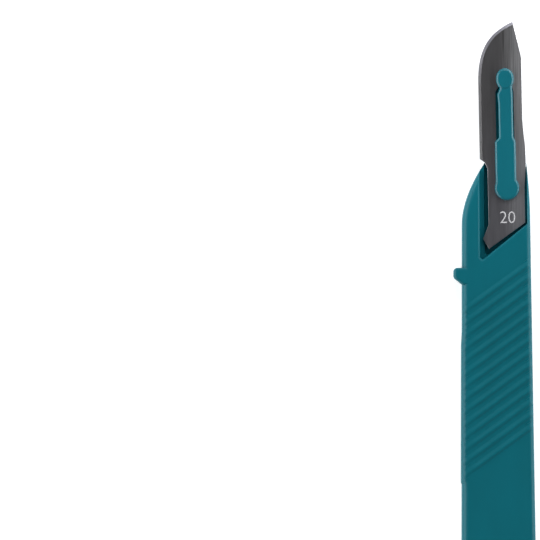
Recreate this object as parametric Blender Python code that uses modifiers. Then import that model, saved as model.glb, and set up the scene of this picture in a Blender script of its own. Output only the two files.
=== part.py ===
"""A disposable scalpel lying on its back: a moulded handle and the blade that is staked to it.

World axes: +Y runs along the handle towards the blade's tip, +X towards the blade's spine and +Z
up out of the face that carries the blade. The origin lies on the handle's centreline, on its back
face, level with the front shoulder of the thumb tab.

The blade, its slot and the boss share a frame of their own. Its origin is the centre of the rear
rivet head, v runs along the slot towards the tip, and u runs across the slot towards the spine.
"""

import math

import bmesh
import bpy
from mathutils import Matrix, Vector

MM = 0.001

# Whole scalpel
OVERALL_LENGTH = 150.0 * MM
HANDLE_THICKNESS = 4.0 * MM
EDGE_ROUNDING = 1.0 * MM

# Place of the blade frame on the handle
BOSS_X = 2.22 * MM
BOSS_Y = 15.76 * MM
BLADE_LEAN = math.radians(0.7)

# Blade: a large belly, a clipped point and a slanted tang
BLADE_THICKNESS = 0.42 * MM
TIP_REACH = 33.0 * MM
TIP_SIDE = 1.75 * MM
TIP_SLOPE = math.radians(24.2)
CLIP_LENGTH = 7.0 * MM
SPINE_SIDE = 3.36 * MM
EDGE_SIDE = 5.3 * MM
EDGE_HEEL = 5.85 * MM
BELLY_LENGTH = 12.0 * MM
BELLY_EDGE_PULL = 7.0 * MM
BELLY_TIP_PULL = 5.0 * MM
FLARE_START = 15.5 * MM
FLARE_END = 5.0 * MM
FLARE_SIDE = 3.88 * MM
GRIND_WIDTH = 0.55 * MM
HEEL_STEP_WIDTH = 1.0 * MM
HEEL_STEP_LENGTH = 0.75 * MM
NOTCH_LENGTH = 1.2 * MM
TANG_EDGE_SIDE = 3.8 * MM
TANG_SPINE_SIDE = 3.5 * MM
TANG_SPINE_START = 0.0 * MM
TANG_NECK_REACH = 7.2 * MM
LUG_SIDE = 4.97 * MM
LUG_REACH = 10.0 * MM
HEEL_SIDE = 3.8 * MM
HEEL_REACH = 12.03 * MM
TANG_END_ANGLE = math.radians(34.8)

# Slot in the blade
SLOT_WIDTH = 3.56 * MM
SLOT_FRONT_WIDTH = 2.6 * MM
SLOT_REAR_WIDTH = 4.0 * MM
SLOT_SHOULDER = 20.1 * MM

# Boss: one keyhole-shaped bead with a round rivet head at each end
FRONT_HEAD_V = 21.74 * MM
FRONT_HEAD_OVERLAP = 0.44 * MM
FRONT_HEAD_STRETCH = 0.29 * MM
REAR_HEAD_OVERLAP = 0.42 * MM
WIDE_OVERLAP = 0.32 * MM
WIDE_START = 9.6 * MM
BEAD_GAP = 0.3 * MM
NECK_WIDTH = 2.4 * MM
NECK_V = 19.6 * MM
NECK_FLARE = 0.8 * MM
BEAD_BELOW_FACE = 0.1 * MM
BEAD_ROUNDING = 0.32 * MM
STEM_CLEARANCE = 0.15 * MM
STEM_INSET = 0.08 * MM
STEM_ROOT = 0.6 * MM
BLADE_CLEARANCE = 0.1 * MM

# Pocket that the tang lies in, with a trench round the blade's seat, and the tongue under the blade
SEAT_DEPTH = 1.4 * MM
TRENCH_DEPTH = 2.5 * MM
SEAT_INSET = 0.5 * MM
SEAT_CORNER = 0.8 * MM
POCKET_RELIEF = 0.6 * MM
POCKET_SIDE_GAP = 0.12 * MM
POCKET_END_GAP = 0.4 * MM
POCKET_END_FAN = math.radians(3.0)
POCKET_CORNER = 0.5 * MM
POCKET_WALL = 0.63 * MM
TONGUE_THICKNESS = 1.5 * MM
TONGUE_MARGIN = 0.9 * MM
TONGUE_OVERRUN = 1.5 * MM
TONGUE_CORNER = 2.2 * MM
BACK_RAMP_START = 1.5 * MM
BACK_RAMP_LENGTH = 4.0 * MM

# Handle's outline
SIDE_FRONT_Y = 8.5 * MM
TAIL_WIDTH = 15.36 * MM
TAIL_EDGE_CURVE = 7.0 * MM
TAIL_SPINE_CURVE = 11.0 * MM
NOSE_PULL = 5.5 * MM
NOSE_TOP_PULL = 1.5 * MM
NOSE_TOP_ANGLE = math.radians(35.0)
SPINE_NOSE_INSET = 1.13 * MM
SPINE_NOSE_LENGTH = 15.5 * MM

# Thumb tab and finger pad on the edge side
TAB_OUT = 1.65 * MM
TAB_ROOT = 0.2 * MM
TAB_LENGTH = 2.0 * MM
TAB_SLOPE_LENGTH = 1.4 * MM
TAB_BELOW_FACE = 0.06 * MM
TAB_CORNER = 0.6 * MM
TAB_ROUNDING = 0.4 * MM
PAD_PROUD = 0.15 * MM
PAD_FRONT = 10.0 * MM
PAD_LEAD_IN = 5.5 * MM
PAD_REAR = 43.2 * MM
PAD_LEAD_OUT = 0.5 * MM
PAD_HEIGHT = 1.6 * MM

# Grip ribs: raised on the face, and level with the back between sunk grooves
RIB_COUNT = 14
RIB_PITCH = 2.5 * MM
RIB_FIRST_Y = 4.0 * MM
RIB_ANGLE = math.radians(35.5)
RIB_HEIGHT = 0.28 * MM
RIB_BASE_WIDTH = 1.4 * MM
RIB_TOP_WIDTH = 0.5 * MM
RIB_EDGE_ROUNDING = 1.25 * MM
RIB_EDGE_MARGIN = 0.9 * MM
RIB_SPINE_MARGIN = 0.06 * MM
GROOVE_EDGE_MARGIN = 1.8 * MM
GROOVE_OVERCUT = 0.06 * MM

# Fineness of the round stretches
ROUNDING_SEGMENTS = 3
BEAD_SEGMENTS = 2
CURVE_STEPS = 12
BELLY_STEPS = 24
ARC_STEPS = 8
HEAD_STEPS = 10

# Room that a cutter or a buried root keeps past the surface it crosses
OVERCUT = 1.0 * MM

SEAT_Z = HANDLE_THICKNESS - SEAT_DEPTH
TRENCH_Z = HANDLE_THICKNESS - TRENCH_DEPTH
TONGUE_Z = SEAT_Z - TONGUE_THICKNESS
BLADE_Z = SEAT_Z + BLADE_CLEARANCE
BEAD_BOTTOM = BLADE_Z + BLADE_THICKNESS + BLADE_CLEARANCE
BEAD_TOP = HANDLE_THICKNESS - BEAD_BELOW_FACE

BLADE_FRAME = Matrix.Translation((BOSS_X, BOSS_Y, 0.0)) @ Matrix.Rotation(BLADE_LEAN, 4, "Z")

TEAL = (0.006, 0.119, 0.156, 1.0)
STEEL = (0.42, 0.42, 0.43, 1.0)


def on_handle(u, v):
    """A point of the blade frame as x and y on the handle."""
    point = BLADE_FRAME @ Vector((u, v, 0.0))
    return (point.x, point.y)


def arc_points(centre, radii, start, end, steps):
    """Points along an arc of a circle or an ellipse, angles in radians."""
    points = []
    for step in range(steps + 1):
        angle = start + (end - start) * step / steps
        x = centre[0] + radii[0] * math.cos(angle)
        y = centre[1] + radii[1] * math.sin(angle)
        points.append((x, y))
    return points


def bezier_points(start, start_pull, end_pull, end, steps):
    """Points along one cubic Bezier stretch."""
    points = []
    for step in range(steps + 1):
        t = step / steps
        weights = ((1 - t) ** 3, 3 * t * (1 - t) ** 2, 3 * t * t * (1 - t), t ** 3)
        controls = (start, start_pull, end_pull, end)
        x = sum(weight * control[0] for weight, control in zip(weights, controls))
        y = sum(weight * control[1] for weight, control in zip(weights, controls))
        points.append((x, y))
    return points


def fillet(before, corner, after, radius, steps=ARC_STEPS):
    """Points of the round that replaces one corner of an outline."""
    corner = Vector(corner)
    towards_before = (Vector(before) - corner).normalized()
    towards_after = (Vector(after) - corner).normalized()
    half_angle = towards_before.angle(towards_after) / 2
    middle = (towards_before + towards_after).normalized()
    centre = corner + middle * (radius / math.sin(half_angle))
    reach = radius / math.tan(half_angle)
    first = corner + towards_before * reach - centre
    last = corner + towards_after * reach - centre
    start = math.atan2(first.y, first.x)
    sweep = math.atan2(last.y, last.x) - start
    sweep = (sweep + math.pi) % (2 * math.pi) - math.pi
    return arc_points(centre, (radius, radius), start, start + sweep, steps)


def mirrored_outline(half):
    """A closed outline from its right half, which runs from the front end to the rear end."""
    return half + [(-u, v) for u, v in reversed(half[1:-1])]


def keyhole(front_radii, neck, strip, wide, rear_radius, neck_v):
    """The keyhole outline that the slot, the stem and the bead share, in the blade frame."""
    neck_angle = -math.acos(min(neck / front_radii[0], 1.0))
    wide_angle = math.acos(min(wide / rear_radius, 1.0))
    front_centre = (0.0, FRONT_HEAD_V)
    half = arc_points(front_centre, front_radii, math.pi / 2, neck_angle, HEAD_STEPS)
    half.append((neck, neck_v))
    half.append((strip, neck_v - NECK_FLARE))
    if wide > strip:
        half.append((strip, WIDE_START + NECK_FLARE / 2))
        half.append((wide, WIDE_START - NECK_FLARE / 2))
    rear_radii = (rear_radius, rear_radius)
    half += arc_points((0.0, 0.0), rear_radii, wide_angle, -math.pi / 2, HEAD_STEPS)
    return mirrored_outline(half)


def flat_solid(name, outline, bottom, top, collection, cuts=()):
    """A flat outline with upright sides, from the height bottom to the height top.

    Each cut, a point and a normal, divides the faces that it crosses and keeps the solid whole.
    """
    curve = bpy.data.curves.new(name, "CURVE")
    curve.dimensions = "2D"
    curve.fill_mode = "BOTH"
    curve.extrude = (top - bottom) / 2
    spline = curve.splines.new("POLY")
    spline.points.add(len(outline) - 1)
    for point, (x, y) in zip(spline.points, outline):
        point.co = (x, y, 0.0, 1.0)
    spline.use_cyclic_u = True
    curve_object = bpy.data.objects.new(name + "_outline", curve)
    collection.objects.link(curve_object)
    bpy.context.view_layer.update()
    evaluated = curve_object.evaluated_get(bpy.context.evaluated_depsgraph_get())
    mesh = bpy.data.meshes.new_from_object(evaluated)
    bpy.data.objects.remove(curve_object)
    shape = bmesh.new()
    shape.from_mesh(mesh)
    bmesh.ops.remove_doubles(shape, verts=shape.verts, dist=0.00001)
    bmesh.ops.dissolve_limit(shape, angle_limit=math.radians(0.2), verts=shape.verts, edges=shape.edges)
    for place, normal in cuts:
        geometry = list(shape.verts) + list(shape.edges) + list(shape.faces)
        bmesh.ops.bisect_plane(shape, geom=geometry, dist=0.0000001, plane_co=place, plane_no=normal)
    bmesh.ops.translate(shape, verts=shape.verts, vec=(0.0, 0.0, (top + bottom) / 2))
    bmesh.ops.recalc_face_normals(shape, faces=shape.faces)
    shape.to_mesh(mesh)
    shape.free()
    solid = bpy.data.objects.new(name, mesh)
    collection.objects.link(solid)
    return solid


def as_tool(solid):
    """Marks a solid that only cuts, trims or joins another."""
    solid.hide_render = True
    solid.display_type = "WIRE"
    return solid


def in_blade_frame(solid):
    """Turns and moves a solid drawn in the blade frame to its place on the handle."""
    solid.location = (BOSS_X, BOSS_Y, 0.0)
    solid.rotation_euler = (0.0, 0.0, BLADE_LEAN)
    return solid


def round_edges(solid, width, segments, angle=60.0):
    """Rounds the edges between faces that meet at more than the angle, in degrees."""
    bevel = solid.modifiers.new("rounded edges", "BEVEL")
    bevel.width = width
    bevel.segments = segments
    bevel.limit_method = "ANGLE"
    bevel.angle_limit = math.radians(angle)
    bevel.use_clamp_overlap = False


def combine(solid, tool, operation):
    """Joins, cuts or trims a solid with a tool."""
    boolean = solid.modifiers.new(tool.name, "BOOLEAN")
    boolean.operation = operation
    boolean.solver = "EXACT"
    boolean.object = tool


def finish(solid, name, colour, metallic, roughness):
    """Gives a solid its own material."""
    material = bpy.data.materials.new(name)
    material.use_nodes = True
    shader = material.node_tree.nodes["Principled BSDF"]
    shader.inputs["Base Color"].default_value = colour
    shader.inputs["Metallic"].default_value = metallic
    shader.inputs["Roughness"].default_value = roughness
    solid.data.materials.append(material)


def tang_corner():
    """The corner where the tang's slanted end meets its spine side."""
    rise = (TANG_SPINE_SIDE + HEEL_SIDE) * math.tan(TANG_END_ANGLE)
    return (TANG_SPINE_SIDE, rise - HEEL_REACH)


def blade_outline():
    """The blade's outline from the edge's heel, up the edge, over the tip and down the spine.

    Also returned is the number of leading points that lie on the ground edge.
    """
    belly_start = (-EDGE_SIDE, TIP_REACH - BELLY_LENGTH)
    tip = (TIP_SIDE, TIP_REACH)
    edge_pull = (-EDGE_SIDE, belly_start[1] + BELLY_EDGE_PULL)
    tip_pull_u = TIP_SIDE - BELLY_TIP_PULL * math.cos(TIP_SLOPE)
    tip_pull_v = TIP_REACH - BELLY_TIP_PULL * math.sin(TIP_SLOPE)
    ground = [(-EDGE_SIDE, EDGE_HEEL)]
    ground += bezier_points(belly_start, edge_pull, (tip_pull_u, tip_pull_v), tip, BELLY_STEPS)
    middle = (FLARE_START + FLARE_END) / 2
    outline = list(ground)
    outline.append((SPINE_SIDE, TIP_REACH - CLIP_LENGTH))
    outline += bezier_points((SPINE_SIDE, FLARE_START), (SPINE_SIDE, middle), (FLARE_SIDE, middle),
                             (FLARE_SIDE, FLARE_END), CURVE_STEPS)
    outline.append((TANG_SPINE_SIDE, TANG_SPINE_START))
    outline.append(tang_corner())
    outline.append((-HEEL_SIDE, -HEEL_REACH))
    outline.append((-LUG_SIDE, -LUG_REACH))
    outline.append((-TANG_EDGE_SIDE, -TANG_NECK_REACH))
    outline.append((-TANG_EDGE_SIDE, EDGE_HEEL - HEEL_STEP_LENGTH - NOTCH_LENGTH))
    outline.append((-EDGE_SIDE + HEEL_STEP_WIDTH, EDGE_HEEL - HEEL_STEP_LENGTH))
    return outline, len(ground)


def inward_normal(points, index):
    """The direction across the ground edge into the blade at one of its points."""
    before = Vector(points[max(index - 1, 0)])
    after = Vector(points[min(index + 1, len(points) - 1)])
    along = (after - before).normalized()
    return Vector((along.y, -along.x))


def ground_plate(name, outline, ground_count, collection):
    """A plate with upright sides whose first outline points lie on an edge ground from both faces.

    The grinds take in unlike sections, a wedge along the cutting edge and a square side elsewhere,
    so the plate is a loft between three loops: the face, the middle plane and the back.
    """
    face_loop = []
    for index, point in enumerate(outline):
        if index >= ground_count:
            face_loop.append(Vector(point))
            continue
        normal = inward_normal(outline[:ground_count], index)
        if index in (0, ground_count - 1):
            neighbour = outline[index - 1 if index == 0 else index + 1]
            along_side = (Vector(neighbour) - Vector(point)).normalized()
            face_loop.append(Vector(point) + along_side * (GRIND_WIDTH / along_side.dot(normal)))
        else:
            face_loop.append(Vector(point) + normal * GRIND_WIDTH)
    shape = bmesh.new()
    loops = []
    for points, height in ((face_loop, BLADE_THICKNESS), (outline, BLADE_THICKNESS / 2), (face_loop, 0.0)):
        loops.append([shape.verts.new((point[0], point[1], height)) for point in points])
    face, middle, back = loops
    shape.faces.new(face)
    shape.faces.new(list(reversed(back)))
    for upper, lower in ((face, middle), (middle, back)):
        for index in range(len(outline)):
            following = (index + 1) % len(outline)
            shape.faces.new((upper[index], lower[index], lower[following], upper[following]))
    bmesh.ops.recalc_face_normals(shape, faces=shape.faces)
    mesh = bpy.data.meshes.new(name)
    shape.to_mesh(mesh)
    shape.free()
    solid = bpy.data.objects.new(name, mesh)
    collection.objects.link(solid)
    return solid


def make_blade(parts, tools):
    """The stamped blade: ground along its edge and belly, and pierced by the keyhole slot."""
    outline, ground_count = blade_outline()
    blade = ground_plate("blade", outline, ground_count, parts)
    half_slot = SLOT_WIDTH / 2
    half_front = SLOT_FRONT_WIDTH / 2
    slot_outline = keyhole((half_front, half_front), half_front, half_slot, half_slot,
                           SLOT_REAR_WIDTH / 2, SLOT_SHOULDER)
    slot = flat_solid("slot_cutter", slot_outline, -OVERCUT, BLADE_THICKNESS + OVERCUT, tools)
    for solid in (blade, slot):
        in_blade_frame(solid)
        solid.location.z = BLADE_Z
    combine(blade, as_tool(slot), "DIFFERENCE")
    finish(blade, "satin_steel", STEEL, 1.0, 0.35)
    return blade


def front_half_width():
    """Half the handle's width beside the pocket: the blade, its side gap and the pocket's wall."""
    return pocket_right() + POCKET_WALL


def half_width(y):
    """Half the handle's width at a place along it: a straight taper that widens to the tail."""
    front = front_half_width()
    slope = (TAIL_WIDTH / 2 - front) / (SIDE_FRONT_Y - tail_y() - TAIL_SPINE_CURVE)
    return front + slope * (SIDE_FRONT_Y - y)


def tail_y():
    """The tail's end."""
    return on_handle(TIP_SIDE, TIP_REACH)[1] - OVERALL_LENGTH


def pocket_left():
    """The pocket's wall on the edge side, clear of the tang's lug."""
    return on_handle(-LUG_SIDE, -LUG_REACH)[0] - POCKET_RELIEF


def pocket_right():
    """The pocket's wall on the spine side, clear of the blade's flare."""
    return on_handle(FLARE_SIDE, FLARE_END)[0] + POCKET_SIDE_GAP


def tongue_end():
    """The front end of the tongue, in the blade frame."""
    return FRONT_HEAD_V + SLOT_FRONT_WIDTH / 2 + FRONT_HEAD_OVERLAP + TONGUE_OVERRUN


def nose_curve():
    """The edge side's ramp, from the straight side up to the notch at the blade's heel."""
    side = half_width(SIDE_FRONT_Y)
    notch = on_handle(-EDGE_SIDE + HEEL_STEP_WIDTH, EDGE_HEEL - HEEL_STEP_LENGTH)
    notch_pull = (notch[0] - NOSE_TOP_PULL * math.sin(NOSE_TOP_ANGLE),
                  notch[1] - NOSE_TOP_PULL * math.cos(NOSE_TOP_ANGLE))
    side_pull = (-side, SIDE_FRONT_Y + NOSE_PULL)
    return bezier_points((-side, SIDE_FRONT_Y), side_pull, notch_pull, notch, CURVE_STEPS)


def spine_nose_curve():
    """The spine side's slow curve inwards under the blade."""
    side = half_width(SIDE_FRONT_Y)
    third = SPINE_NOSE_LENGTH / 3
    return bezier_points((side, SIDE_FRONT_Y),
                         (side, SIDE_FRONT_Y + third),
                         (side - SPINE_NOSE_INSET / 3, SIDE_FRONT_Y + 2 * third),
                         (side - SPINE_NOSE_INSET, SIDE_FRONT_Y + SPINE_NOSE_LENGTH), CURVE_STEPS)


def handle_outline():
    """The handle and its tongue seen from above, anticlockwise from the spine side's front."""
    tongue_half = SLOT_WIDTH / 2 + TONGUE_MARGIN
    end = tongue_end()
    nose = nose_curve()
    spine_nose = spine_nose_curve()
    corners = [on_handle(tongue_half, end), on_handle(-tongue_half, end)]
    root = on_handle(-tongue_half, EDGE_HEEL + TONGUE_CORNER)
    side_root = on_handle(tongue_half, end / 2 + TONGUE_CORNER)
    outline = list(spine_nose)
    outline += fillet(spine_nose[-1], side_root, corners[0], TONGUE_CORNER)
    outline += fillet(side_root, corners[0], corners[1], TONGUE_CORNER)
    outline += fillet(corners[0], corners[1], root, TONGUE_CORNER)
    outline += fillet(corners[1], root, nose[-1], TONGUE_CORNER)
    outline += list(reversed(nose))
    tail = tail_y()
    edge_curve_y = tail + TAIL_EDGE_CURVE
    spine_curve_y = tail + TAIL_SPINE_CURVE
    edge_half = half_width(edge_curve_y)
    spine_half = half_width(spine_curve_y)
    edge_radii = (edge_half, TAIL_EDGE_CURVE)
    spine_radii = (spine_half, TAIL_SPINE_CURVE)
    quarter = math.pi / 2
    outline += arc_points((0.0, edge_curve_y), edge_radii, 2 * quarter, 3 * quarter, CURVE_STEPS)
    outline += arc_points((0.0, spine_curve_y), spine_radii, 3 * quarter, 4 * quarter, CURVE_STEPS)[1:]
    return outline


def pocket_corners():
    """The pocket's corners: open end left, low and high ends of its slanted end, open end right."""
    left = pocket_left()
    right = pocket_right()
    angle = TANG_END_ANGLE + BLADE_LEAN + POCKET_END_FAN
    away = Vector((math.sin(angle), -math.cos(angle)))
    through = Vector(on_handle(*tang_corner())) + POCKET_END_GAP * away
    low = (left, through.y + (left - through.x) * math.tan(angle))
    high = (right, through.y + (right - through.x) * math.tan(angle))
    open_end = on_handle(0.0, tongue_end())[1] + OVERCUT
    return (left, open_end), low, high, (right, open_end)


def pocket_outline():
    """The pocket: a wall on each side of the tang and a slanted end, open at the nose."""
    open_left, low, high, open_right = pocket_corners()
    return fillet(open_left, low, high, POCKET_CORNER) + [high, open_right, open_left]


def trench_outline():
    """The trench beside the tang and round its slanted end. What it leaves is the blade's seat."""
    open_left, low, high, open_right = pocket_corners()
    seat_side = SEAT_INSET - TANG_EDGE_SIDE
    corner_u, corner_v = tang_corner()
    slope = math.tan(TANG_END_ANGLE)
    end_v = corner_v + SEAT_INSET / math.cos(TANG_END_ANGLE)
    seat_corner = on_handle(seat_side, end_v - (corner_u - seat_side) * slope)
    seat_end = on_handle(corner_u, end_v)
    across = (high[0] - seat_corner[0]) / (seat_end[0] - seat_corner[0])
    seat_wall = (high[0], seat_corner[1] + across * (seat_end[1] - seat_corner[1]))
    seat_front = on_handle(seat_side, tongue_end() + 2 * OVERCUT)
    outline = fillet(open_left, low, high, POCKET_CORNER) + [high, seat_wall]
    outline += fillet(seat_wall, seat_corner, seat_front, SEAT_CORNER)
    outline += [(seat_front[0], open_left[1]), open_left]
    return outline


def back_relief(tools):
    """The cutter that thins the nose from behind down to the tongue, with a slanted start."""
    start = on_handle(0.0, EDGE_HEEL)[1] - BACK_RAMP_START
    end = on_handle(0.0, tongue_end())[1] + OVERCUT
    profile = [(start, 0.0), (start + BACK_RAMP_LENGTH, TONGUE_Z), (end, TONGUE_Z), (end, -OVERCUT),
               (start - OVERCUT * BACK_RAMP_LENGTH / TONGUE_Z, -OVERCUT)]
    reach = half_width(start) + OVERCUT
    cutter = flat_solid("relief_cutter", profile, -reach, reach, tools)
    cutter.data.transform(Matrix(((0, 0, 1, 0), (1, 0, 0, 0), (0, 1, 0, 0), (0, 0, 0, 1))))
    return as_tool(cutter)


def thumb_tab(tools):
    """The tab on the edge side that the thumb pushes against and the cap meets."""
    side = half_width(0.0)
    inner = side - EDGE_ROUNDING - TAB_ROOT
    outer = side + TAB_OUT
    rear = -TAB_LENGTH - TAB_SLOPE_LENGTH
    front_corner = fillet((-inner, 0.0), (-outer, 0.0), (-outer, -TAB_LENGTH), TAB_CORNER)
    rear_corner = fillet((-outer, 0.0), (-outer, -TAB_LENGTH), (-side, rear), TAB_CORNER)
    outline = [(-inner, 0.0)] + front_corner + rear_corner + [(-side, rear), (-inner, rear)]
    tab = flat_solid("thumb_tab", outline, TAB_BELOW_FACE, HANDLE_THICKNESS - TAB_BELOW_FACE, tools)
    round_edges(tab, TAB_ROUNDING, BEAD_SEGMENTS)
    return as_tool(tab)


def finger_pad(tools):
    """The slightly proud strip along the edge side, which rises slowly and ends short."""
    stations = ((-PAD_FRONT, -PAD_PROUD), (-PAD_FRONT - PAD_LEAD_IN, PAD_PROUD),
                (-PAD_REAR + PAD_LEAD_OUT, PAD_PROUD), (-PAD_REAR, -PAD_PROUD))
    outline = [(-half_width(y) - proud, y) for y, proud in stations]
    outline += [(-half_width(y) + EDGE_ROUNDING, y) for y in (-PAD_REAR, -PAD_FRONT)]
    bottom = (HANDLE_THICKNESS - PAD_HEIGHT) / 2
    return as_tool(flat_solid("finger_pad", outline, bottom, bottom + PAD_HEIGHT, tools))


def slanted_bars(name, section, edge_reach, spine_reach, first_y, count, tools):
    """A row of bars at the ribs' slant. Their section is given as distances across and heights."""
    sine = math.sin(RIB_ANGLE)
    cosine = math.cos(RIB_ANGLE)
    bars = flat_solid(name, section, -spine_reach / cosine, edge_reach / cosine, tools)
    bars.data.transform(Matrix(((sine, 0, -cosine, 0), (-cosine, 0, -sine, -first_y),
                                (0, 1, 0, 0), (0, 0, 0, 1))))
    row = bars.modifiers.new("row", "ARRAY")
    row.count = count
    row.use_relative_offset = False
    row.use_constant_offset = True
    row.constant_offset_displace = (0.0, -RIB_PITCH, 0.0)
    return as_tool(bars)


def face_ribs(tools):
    """Raised slanted ribs on the face, trimmed to a body that stands proud of the handle."""
    flank = (RIB_BASE_WIDTH - RIB_TOP_WIDTH) / 2 / RIB_HEIGHT
    shoulder = HANDLE_THICKNESS - RIB_HEIGHT / 2
    low_half = RIB_BASE_WIDTH / 2 + RIB_HEIGHT / 2 * flank
    apex = shoulder + low_half / flank
    middle = HANDLE_THICKNESS / 2
    section = [(-low_half, middle), (low_half, middle), (low_half, shoulder), (0.0, apex), (-low_half, shoulder)]
    reach = half_width(tail_y())
    ribs = slanted_bars("face_ribs", section, reach, reach, RIB_FIRST_Y, RIB_COUNT, tools)
    slant = reach * math.tan(RIB_ANGLE)
    front = -RIB_FIRST_Y + slant
    rear = -RIB_FIRST_Y - (RIB_COUNT - 1) * RIB_PITCH - slant
    trim_outline = [(half_width(front) - RIB_SPINE_MARGIN, front),
                    (-half_width(front) + RIB_EDGE_MARGIN, front),
                    (-half_width(rear) + RIB_EDGE_MARGIN, rear),
                    (half_width(rear) - RIB_SPINE_MARGIN, rear)]
    trim = flat_solid("rib_trim", trim_outline, -OVERCUT, HANDLE_THICKNESS + RIB_HEIGHT, tools)
    round_edges(trim, RIB_EDGE_ROUNDING, ROUNDING_SEGMENTS)
    combine(ribs, as_tool(trim), "INTERSECT")
    return ribs


def back_grooves(tools):
    """Slanted grooves on the back. The ribs between them stay level with it, so that it lies flat."""
    flank = (RIB_BASE_WIDTH - RIB_TOP_WIDTH) / 2 / RIB_HEIGHT
    valley_half = (RIB_PITCH * math.cos(RIB_ANGLE) - RIB_BASE_WIDTH) / 2
    mouth_half = valley_half + (RIB_HEIGHT + GROOVE_OVERCUT) * flank
    section = [(-mouth_half, -GROOVE_OVERCUT), (mouth_half, -GROOVE_OVERCUT),
               (valley_half, RIB_HEIGHT), (-valley_half, RIB_HEIGHT)]
    first_y = RIB_FIRST_Y + RIB_PITCH / 2
    edge_reach = half_width(-first_y) - GROOVE_EDGE_MARGIN
    spine_reach = half_width(tail_y()) + OVERCUT
    return slanted_bars("back_grooves", section, edge_reach, spine_reach, first_y, RIB_COUNT - 1, tools)


def boss_pieces(tools):
    """The stem that fills the slot, and the bead on it whose heads hold the blade down."""
    half_slot = SLOT_WIDTH / 2
    bead_strip = half_slot - BEAD_GAP
    stem_front = SLOT_FRONT_WIDTH / 2 - STEM_CLEARANCE
    stem_outline = keyhole((stem_front, stem_front), stem_front, bead_strip - STEM_INSET,
                           half_slot - STEM_CLEARANCE, SLOT_REAR_WIDTH / 2 - STEM_CLEARANCE, SLOT_SHOULDER)
    bead_front = SLOT_FRONT_WIDTH / 2 + FRONT_HEAD_OVERLAP
    bead_outline = keyhole((bead_front, bead_front + FRONT_HEAD_STRETCH), NECK_WIDTH / 2, bead_strip,
                           half_slot + WIDE_OVERLAP, SLOT_REAR_WIDTH / 2 + REAR_HEAD_OVERLAP, NECK_V)
    stem_top = (BEAD_BOTTOM + BEAD_TOP) / 2
    stem = flat_solid("boss_stem", stem_outline, SEAT_Z - STEM_ROOT, stem_top, tools)
    bead = flat_solid("boss_bead", bead_outline, BEAD_BOTTOM, BEAD_TOP, tools)
    round_edges(bead, BEAD_ROUNDING, BEAD_SEGMENTS)
    return [in_blade_frame(as_tool(piece)) for piece in (stem, bead)]


def valleys():
    """Upright planes along the valleys on both sides of every rib."""
    across = (math.sin(RIB_ANGLE), -math.cos(RIB_ANGLE), 0.0)
    return [((0.0, -RIB_FIRST_Y + (0.5 - rib) * RIB_PITCH, 0.0), across) for rib in range(RIB_COUNT + 1)]


def make_handle(parts, tools):
    """The moulded handle, from its rounded outline to the boss that holds the blade."""
    handle = flat_solid("handle", handle_outline(), 0.0, HANDLE_THICKNESS, parts, valleys())
    round_edges(handle, EDGE_ROUNDING, ROUNDING_SEGMENTS)
    pocket = flat_solid("pocket_cutter", pocket_outline(), SEAT_Z, HANDLE_THICKNESS + OVERCUT, tools)
    combine(handle, as_tool(pocket), "DIFFERENCE")
    trench = flat_solid("trench_cutter", trench_outline(), TRENCH_Z, HANDLE_THICKNESS + OVERCUT, tools)
    combine(handle, as_tool(trench), "DIFFERENCE")
    combine(handle, back_relief(tools), "DIFFERENCE")
    combine(handle, thumb_tab(tools), "UNION")
    combine(handle, finger_pad(tools), "UNION")
    combine(handle, face_ribs(tools), "UNION")
    combine(handle, back_grooves(tools), "DIFFERENCE")
    for piece in boss_pieces(tools):
        combine(handle, piece, "UNION")
    finish(handle, "teal_plastic", TEAL, 0.0, 0.4)
    return handle


def main():
    for old in list(bpy.data.objects):
        bpy.data.objects.remove(old)
    parts = bpy.data.collections.new("disposable_scalpel")
    tools = bpy.data.collections.new("shaping_tools")
    for collection in (parts, tools):
        bpy.context.scene.collection.children.link(collection)
    make_handle(parts, tools)
    make_blade(parts, tools)


main()
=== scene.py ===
# %% [markdown]
# # A disposable scalpel
#
# This lesson dresses a imported CAD model of a disposable scalpel. A disposable scalpel is two
# pieces: a handle moulded in one shot of teal plastic, and a steel blade that a machine drops over
# a plastic boss and stakes in place. The CAD model has the right sizes but few facets and plain
# colours. The lesson builds finer versions of both pieces on the same sizes, gives each its finish,
# and lights them as a product photographer would, on a pale sweep.
#
# The first cell loads the imported model, which is the fixed frame that everything else rides on.

# %% Load the imported model
import math

import bmesh
import bpy
from mathutils import Matrix, Vector


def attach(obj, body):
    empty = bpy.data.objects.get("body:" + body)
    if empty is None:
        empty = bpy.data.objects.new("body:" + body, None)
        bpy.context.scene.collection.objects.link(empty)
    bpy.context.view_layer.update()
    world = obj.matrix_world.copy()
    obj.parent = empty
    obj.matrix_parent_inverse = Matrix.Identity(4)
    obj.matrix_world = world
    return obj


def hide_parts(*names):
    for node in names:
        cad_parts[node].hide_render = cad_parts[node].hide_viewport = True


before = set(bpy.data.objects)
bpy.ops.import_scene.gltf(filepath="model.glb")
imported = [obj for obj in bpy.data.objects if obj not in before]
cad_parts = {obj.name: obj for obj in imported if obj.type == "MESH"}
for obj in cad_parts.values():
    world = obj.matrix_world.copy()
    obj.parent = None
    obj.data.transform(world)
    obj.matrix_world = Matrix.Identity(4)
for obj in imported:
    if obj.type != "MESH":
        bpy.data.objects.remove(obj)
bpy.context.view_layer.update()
MM = 0.001


def in_mm(lengths):
    """Lengths in metres as rounded millimetres, for printing."""
    return [round(length / MM, 2) for length in lengths]


print("nodes:", sorted(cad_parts))

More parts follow.
